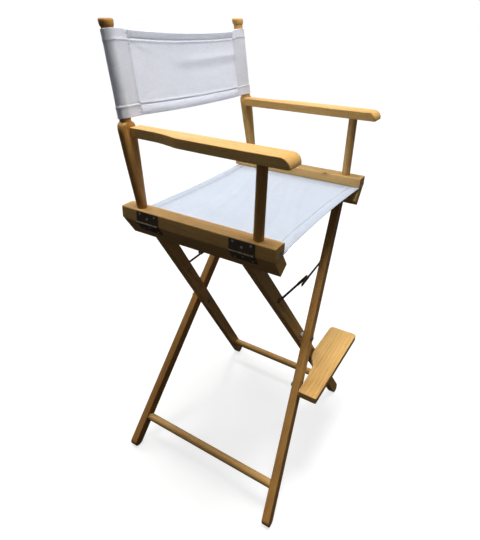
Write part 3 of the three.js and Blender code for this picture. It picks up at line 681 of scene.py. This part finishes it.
back = Cloth(back_line, (0, y_lo, 978), (1, 0, 0), (0, -math.cos(RK), math.sin(RK)), (0, math.sin(RK), math.cos(RK)), BACK_T, back_along, back_push_safe)
# The back and the seat are the same canvas: the back's paler base is painted light and the seat's darker base is
# painted shade.
mat_back = canvas("canvas_back", (0.90, 0.915, 0.98), glow=0.30)
mat_seat = canvas("canvas_seat", (0.50, 0.55, 0.635), glow=0.08)
mat_thread = thread_material("thread", (0.84, 0.86, 0.90))
s_grid = back_line.grid(lambda a: 1.3 if abs(a) > 203 else 3.0)
t_grid = np.unique(np.round(np.concatenate([np.arange(0, 30, 1.0), np.arange(30, BACK_T - 30, 2.6), np.arange(BACK_T - 30, BACK_T, 1.0), [BACK_T]]), 3))
back_cloth = back.build("back_cloth", s_grid, t_grid, mat_back)
rows = []
for side in (1, -1):
    if side == 1:
        rows.append(([(S_NEAR + 1.5, BACK_T - 15.4 + 1.6), (S_FAR - 1.5, BACK_T - 15.4 + 1.6)], side))
        rows.append(([(S_NEAR + 1.5, 20.5 - 1.8), (S_FAR - 1.5, 20.5 - 1.8)], side))
        rows.append(([(S_NEAR, 2.0), (S_NEAR, BACK_T - 2.0)], side))
        rows.append(([(S_FAR, 2.0), (S_FAR, BACK_T - 2.0)], side))
        rows.append(([(S_NEAR + 4.5, 2.0), (S_NEAR + 4.5, BACK_T - 2.0)], side))
        rows.append(([(S_FAR - 4.5, 2.0), (S_FAR - 4.5, BACK_T - 2.0)], side))
        for s0, s1 in ((9.0, S_NEAR - 3), (S_FAR + 3, S_TOT - 9.0)):
            rows.append(([(s0, BACK_T - 23 + 1.8), (s1, BACK_T - 23 + 1.8)], side))
            rows.append(([(s0, 25 - 1.8), (s1, 25 - 1.8)], side))
        # the flap's own stitch line, behind
        rows.append(([(4.0, 2.0), (4.0, BACK_T - 2.0)], side))
        rows.append(([(S_TOT - 4.0, 2.0), (S_TOT - 4.0, BACK_T - 2.0)], side))
    else:
        rows.append(([(S_NEAR + 8, BACK_T - 15.4 + 1.6), (S_FAR - 8, BACK_T - 15.4 + 1.6)], side))
        rows.append(([(S_NEAR + 8, 20.5 - 1.8), (S_FAR - 8, 20.5 - 1.8)], side))
# small boxed bar tacks where the sleeve meets each hem
for s0 in (S_NEAR + 1.5, S_FAR - 7.5):
    for t0 in (14.0, BACK_T - 16.0):
        rows.append(([(s0, t0), (s0 + 6, t0), (s0 + 6, t0 + 11), (s0, t0 + 11), (s0, t0), (s0 + 6, t0 + 11)], 1))
back_stitches = back.stitches("back_stitches", rows, mat_thread)

# --- seat: one strip, looped round both seat dowels inside the rails
CH_X, CH_Z, Z_WEB = 249.5, 758.5, 752.3
flap_z, web_z = 751.75 - Z_WEB, 752.95 - Z_WEB
side_pts = [(-212, flap_z), (-236, flap_z), (-245.4, flap_z), (-247.2, 752.5 - Z_WEB), (-247.95, 753.55 - Z_WEB)]
cz = CH_Z - Z_WEB
# round the dowel: from the outer side of the neck, over the top, back to the inner side
side_pts += [(-(CH_X + 3.72 * math.cos(math.radians(q))), cz + 3.72 * math.sin(math.radians(q))) for q in np.linspace(-96, 226, 26)]
side_pts += [(-246.75, 754.1 - Z_WEB), (-245.7, 753.2 - Z_WEB), (-243.5, web_z), (-236, web_z), (-232, web_z)]
seat_line = Line(side_pts + [(-a, b) for a, b in side_pts][::-1])
SEAT_S = seat_line.length
SEAT_T = 383.0
s_half = (seat_line.s > 40) & (seat_line.s < SEAT_S / 2)
S_IN = float(np.interp(-229.0, seat_line.a[s_half], seat_line.s[s_half]))      # just inside the near rail
S_SEW = float(np.interp(-214.0, seat_line.a[s_half], seat_line.s[s_half]))     # pocket stitch line
Y0 = -183.5 + 1 - 0.22


def seat_edges(a):
    w = np.clip(1 - (a / 232.0) ** 2, 0, 1)
    return 8.3 * w, SEAT_T - 5.2 * w


def seat_along(a, t):
    f, r = seat_edges(a)
    return f + (r - f) * t / SEAT_T


def seat_push(a, s, t):
    web = smooth(s, S_IN - 2, S_IN + 12) * (1 - smooth(s, SEAT_S - S_IN - 12, SEAT_S - S_IN + 2))
    f, r = seat_edges(a)
    k = (r - f) / SEAT_T
    e_f, e_r = t * k, (SEAT_T - t) * k
    hem = 21.5
    h = np.full_like(a, 0.54)
    in_hem = np.maximum(1 - smooth(e_f, hem - 0.8, hem + 0.5), 1 - smooth(e_r, hem - 0.8, hem + 0.5)) * web
    h = h + 0.30 * in_hem
    d = 0.30 * in_hem
    for e in (e_f, e_r):
        u = np.clip(e / hem, 0, 1)
        d = d + web * 1.9 * np.sin(np.pi * u) * (e < hem)
        d = d - web * 1.6 * np.exp(-((e - hem - 1.2) / 1.5) ** 2)
        d = d + web * 1.1 * np.exp(-((e - hem - 5.6) / 2.8) ** 2)
        d = d + web * 0.22 * np.sin(s * 2 * np.pi / 8.7 + 1.5 * np.sin(s / 15)) * np.exp(-((e - hem) / 5.0) ** 2)
    near_rail = np.maximum(np.exp(-(s - S_SEW) ** 2 / 1.2), np.exp(-(s - (SEAT_S - S_SEW)) ** 2 / 1.2))
    d = d - 0.3 * near_rail * web
    wx, wy = np.clip(1 - (a / 231.0) ** 2, 0, 1), np.clip(t / SEAT_T, 0, 1)
    d = d - web * wx * (2.0 + 2.2 * np.sin(np.pi * wy))
    # long soft creases that run slantwise from rail to rail
    for c0, slope, amp, width in ((70, 0.34, 0.85, 8.5), (118, 0.30, -0.75, 10), (165, 0.26, 0.8, 9), (212, 0.22, -0.75, 11), (262, 0.20, 0.75, 9), (300, 0.16, -0.6, 10)):
        line = c0 + slope * a + 5 * np.sin(a / 70.0 + c0)
        d = d + web * 1.7 * amp * np.exp(-((t - line) / width) ** 2) * np.clip(1 - (a / 236.0) ** 4, 0, 1)
    # short pulls fanning from the rails
    for k0 in range(9):
        t0 = 25 + 41.5 * k0 + 5 * math.sin(2.1 * k0)
        for sgn in (-1, 1):
            run = 230 - sgn * a * -1 if sgn > 0 else 230 + a
            run = (230 - a) if sgn > 0 else (230 + a)
            side = t - t0 - (0.10 * math.sin(1.7 * k0 + sgn)) * run
            d = d + web * 0.42 * np.exp(-(side / 5.5) ** 2) * smooth(run, 1, 14) * (1 - smooth(run, 25, 85))
    d = d + web * (0.55 * bumpy(a, t, 80, 41) + 0.16 * bumpy(a, t, 22, 43))
    return d, h


seat = Cloth(seat_line, (0, Y0, Z_WEB), (1, 0, 0), (0, 0, 1), (0, 1, 0), SEAT_T, seat_along, seat_push)
s_grid = seat_line.grid(lambda a: 0.9 if abs(a) > 234 else 3.2)
t_grid = np.unique(np.round(np.concatenate([np.arange(0, 32, 1.1), np.arange(32, SEAT_T - 32, 3.2), np.arange(SEAT_T - 32, SEAT_T, 1.1), [SEAT_T]]), 3))
seat_cloth = seat.build("seat_cloth", s_grid, t_grid, mat_seat)
rows = []
for side in (1, -1):
    for t0 in (20.2, SEAT_T - 20.2):
        lo_s = S_IN + 1 if side == 1 else S_SEW + 6
        rows.append(([(lo_s, t0), (SEAT_S - lo_s, t0)], side))
for sx in (S_SEW, SEAT_S - S_SEW):
    rows.append(([(sx, 2.0), (sx, SEAT_T - 2.0)], 1))
seat_stitches = seat.stitches("seat_stitches", rows, mat_thread)


# folded, the two arms come close together; the share of the span left between them is worked out, and the cloth rides
# on the far arm
def share_left(anchor):
    """How much of the span between the arms is left when the chair is folded."""
    fold = next(j for j in frame["joints"] if j["name"] == "fold")
    hinge_n = next(j for j in frame["joints"] if j["name"] == "near_arm_hinge")
    hinge_f = next(j for j in frame["joints"] if j["name"] == "far_arm_hinge")
    q = math.radians(fold["range_deg"][1])
    piv = Vector(fold["pos_m"])
    rot = lambda p, c, ang: c + Matrix.Rotation(ang, 3, Vector((0, 1, 0))) @ (p - c)
    z, x = anchor
    pn, pf = Vector((-x, piv.y, z)), Vector((x, piv.y, z))
    pn = rot(rot(pn, Vector((hinge_n["pos_m"][0], piv.y, hinge_n["pos_m"][2])), -q / 2), piv, q)
    pf = rot(pf, Vector((hinge_f["pos_m"][0], piv.y, hinge_f["pos_m"][2])), q / 2)
    return (pf - pn).length / (2 * x)


KEEP_SEAT, KEEP_BACK = share_left((0.7585, 0.2495)), share_left((1.06, 0.253))
for o, x, keep, cad in ((back_cloth, 0.253, KEEP_BACK, "back_canvas"), (back_stitches, 0.253, KEEP_BACK, None), (seat_cloth, 0.2495, KEEP_SEAT, "seat_canvas"), (seat_stitches, 0.2495, KEEP_SEAT, None)):
    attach(o, "far_arm")
    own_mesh(o)
    if cad:
        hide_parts(cad)


# ------------------------------------------------------------------ countersunk screws in the hinge leaves
def screws(name, places, body):
    """places: (centre of the recess floor, outward normal), mm. Domed countersunk heads with a cross recess."""
    verts, faces = [], []
    radii = [0.35, 0.7, 1.05, 1.4, 1.75, 2.1, 2.5, 2.85, 3.1, 3.2]
    seg = 32
    for n_screw, (c, nrm) in enumerate(places):
        nrm = Vector(nrm).normalized()
        ux = Vector((0, 1, 0)) if abs(nrm.y) < 0.9 else Vector((1, 0, 0))
        uy = nrm.cross(ux).normalized()
        spin = 0.9 * n_screw + 0.35
        base = len(verts)

        def height(r, t):
            h = 0.62 + 0.28 * (1 - (r / 3.2) ** 2)
            if r > 3.0:
                h -= (r - 3.0) * 1.6
            x, y = r * math.cos(t - spin), r * math.sin(t - spin)
            arm = max(0.0, 1 - max(abs(y) - 0.28, 0) / 0.3) * (abs(x) < 1.9) + 0.0
            arm2 = max(0.0, 1 - max(abs(x) - 0.28, 0) / 0.3) * (abs(y) < 1.9)
            return h - 0.75 * min(1.0, max(arm, arm2)) * (1 - 0.35 * r / 1.9 if r < 1.9 else 0)

        verts.append(Vector(c) + nrm * height(0, 0))
        for r in radii:
            for k in range(seg):
                t = 2 * math.pi * k / seg
                verts.append(Vector(c) + nrm * height(r, t) + (ux * math.cos(t) + uy * math.sin(t)) * r)
        for k in range(seg):
            t = 2 * math.pi * k / seg
            verts.append(Vector(c) + nrm * 0.05 + (ux * math.cos(t) + uy * math.sin(t)) * 3.15)
        verts.append(Vector(c) + nrm * 0.05)
        for k in range(seg):
            k1 = (k + 1) % seg
            faces.append([base, base + 1 + k, base + 1 + k1])
            for i in range(len(radii)):
                a, b = base + 1 + i * seg, base + 1 + (i + 1) * seg
                faces.append([a + k, b + k, b + k1, a + k1])
            last = base + 1 + len(radii) * seg
            faces.append([last + k, base + 1 + (len(radii) + 1) * seg, last + k1])
    me = bpy.data.meshes.new(name)
    me.from_pydata([tuple(v * MM) for v in verts], [], faces)
    bm = bmesh.new()
    bm.from_mesh(me)
    bmesh.ops.recalc_face_normals(bm, faces=bm.faces)
    for f in bm.faces:
        f.smooth = True
    bm.to_mesh(me)
    bm.free()
    me.materials.append(steel_screw)
    o = bpy.data.objects.new(name, me)
    scene.collection.objects.link(o)
    o.modifiers.new("split", "EDGE_SPLIT").split_angle = math.radians(42)
    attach(o, body)
    return o


for tag, side, up_body, lo_body in (("near", -1, "near_arm", "inner_frame"), ("far", 1, "far_arm", "outer_frame")):
    for end, yc in (("front", -109.5 - 0.22), ("rear", 134 - 0.22)):
        screws(f"screws_upper_{tag}_{end}", [((side * 272.6, yc + dy, z), (side, 0, 0)) for dy, z in ((-21, 771.5), (0, 763.5), (21, 771.5))], up_body)
        places = []
        for dy, u in ((-21, 21.5), (0, 12.5), (21, 21.5)):
            v = -1.3
            places.append(((side * (271.7 - u * SA - v * CA), yc + dy, 750.7 - u * CA + v * SA), (side * CA, 0, -SA)))
        screws(f"screws_lower_{tag}_{end}", places, lo_body)


# ------------------------------------------------------------------ floor and light
def floor_material():
    m = Mat("floor")
    co = m.node("TexCoord").outputs["Object"]
    n1 = m.noise(m.vmath("SCALE", co, scale=3.0), 1.0, 3.0, 0.5)
    m.put(m.b.inputs["Base Color"], m.ramp(n1, [(0.2, (0.30, 0.30, 0.30)), (0.8, (0.31, 0.31, 0.31))]))
    m.b.inputs["Roughness"].default_value = 0.9
    m.b.inputs["Specular IOR Level"].default_value = 0.1
    m.b.inputs["Emission Color"].default_value = (1, 1, 1, 1)
    m.b.inputs["Emission Strength"].default_value = 0.74
    return m.m


bm = bmesh.new()
bmesh.ops.create_grid(bm, x_segments=24, y_segments=24, size=60)
me = bpy.data.meshes.new("floor")
bm.to_mesh(me)
bm.free()
me.materials.append(floor_material())
floor = bpy.data.objects.new("floor", me)
floor.location = (0, 0, -0.0003)
scene.collection.objects.link(floor)
floor.visible_diffuse = False
floor.visible_glossy = False


def sun(name, direction, strength, angle, colour=(1, 1, 1)):
    d = bpy.data.lights.new(name, "SUN")
    d.energy, d.angle, d.color = strength, math.radians(angle), colour
    o = bpy.data.objects.new(name, d)
    o.rotation_mode = "QUATERNION"
    o.rotation_quaternion = Vector(direction).to_track_quat("Z", "Y")
    scene.collection.objects.link(o)
    return o


def card(name, place, target, size, watts, colour=(1, 1, 1), gloss=False):
    """A soft box that lights the object and stays out of the picture."""
    d = bpy.data.lights.new(name, "AREA")
    d.shape, d.size, d.size_y = "RECTANGLE", size[0], size[1]
    d.energy, d.color = watts, colour
    o = bpy.data.objects.new(name, d)
    o.location = place
    o.rotation_mode = "QUATERNION"
    o.rotation_quaternion = (Vector(place) - Vector(target)).to_track_quat("Z", "Y")
    o.visible_camera = False
    o.visible_glossy = gloss
    scene.collection.objects.link(o)
    return o


sun("key", (0.04, 0.0, 1.0), 2.05, 20, (1.0, 0.985, 0.955))
sun("rear", (0.15, 0.80, 0.80), 0.7, 40, (1.0, 0.99, 0.97))
card("front_box", (0.05, -0.30, 1.95), (0.02, 0.2, 1.05), (0.6, 0.25), 8.5, (0.98, 0.99, 1.0))
card("back_box", (0.0, 1.15, 1.30), (0.0, 0.2, 1.05), (0.8, 0.5), 6.5, (1.0, 0.99, 0.97))
card("inner_box", (-0.15, -0.05, 2.6), (0.25, 0.0, 0.80), (0.4, 0.6), 8, (1.0, 0.97, 0.92))
card("rim_box", (2.4, 1.7, 1.8), (0.0, 0.0, 0.8), (2.4, 1.6), 5, (1.0, 0.99, 0.97), gloss=True)

world = bpy.data.worlds.new("world")
scene.world = world
world.use_nodes = True
wt = world.node_tree
wt.nodes.clear()
w_out = wt.nodes.new("ShaderNodeOutputWorld")
w_fill, w_back, w_mix = wt.nodes.new("ShaderNodeBackground"), wt.nodes.new("ShaderNodeBackground"), wt.nodes.new("ShaderNodeMixShader")
w_co, w_sep, w_ramp, w_path = wt.nodes.new("ShaderNodeTexCoord"), wt.nodes.new("ShaderNodeSeparateXYZ"), wt.nodes.new("ShaderNodeValToRGB"), wt.nodes.new("ShaderNodeLightPath")
wt.links.new(w_co.outputs["Generated"], w_sep.inputs[0])
w_ramp.color_ramp.elements[0].position, w_ramp.color_ramp.elements[0].color = 0.20, (0.022, 0.022, 0.023, 1)
w_ramp.color_ramp.elements[1].position, w_ramp.color_ramp.elements[1].color = 0.90, (0.14, 0.147, 0.158, 1)
w_map = wt.nodes.new("ShaderNodeMapRange")
wt.links.new(w_sep.outputs[2], w_map.inputs[0])
w_map.inputs[1].default_value, w_map.inputs[2].default_value = -1.0, 1.0
wt.links.new(w_map.outputs[0], w_ramp.inputs[0])
wt.links.new(w_ramp.outputs[0], w_fill.inputs[0])
w_fill.inputs[1].default_value = 1.0
w_back.inputs[0].default_value, w_back.inputs[1].default_value = (1.0, 1.0, 1.0, 1), 1.0
wt.links.new(w_path.outputs["Is Camera Ray"], w_mix.inputs[0])
wt.links.new(w_fill.outputs[0], w_mix.inputs[1])
wt.links.new(w_back.outputs[0], w_mix.inputs[2])
wt.links.new(w_mix.outputs[0], w_out.inputs[0])

scene.view_settings.view_transform = "Standard"
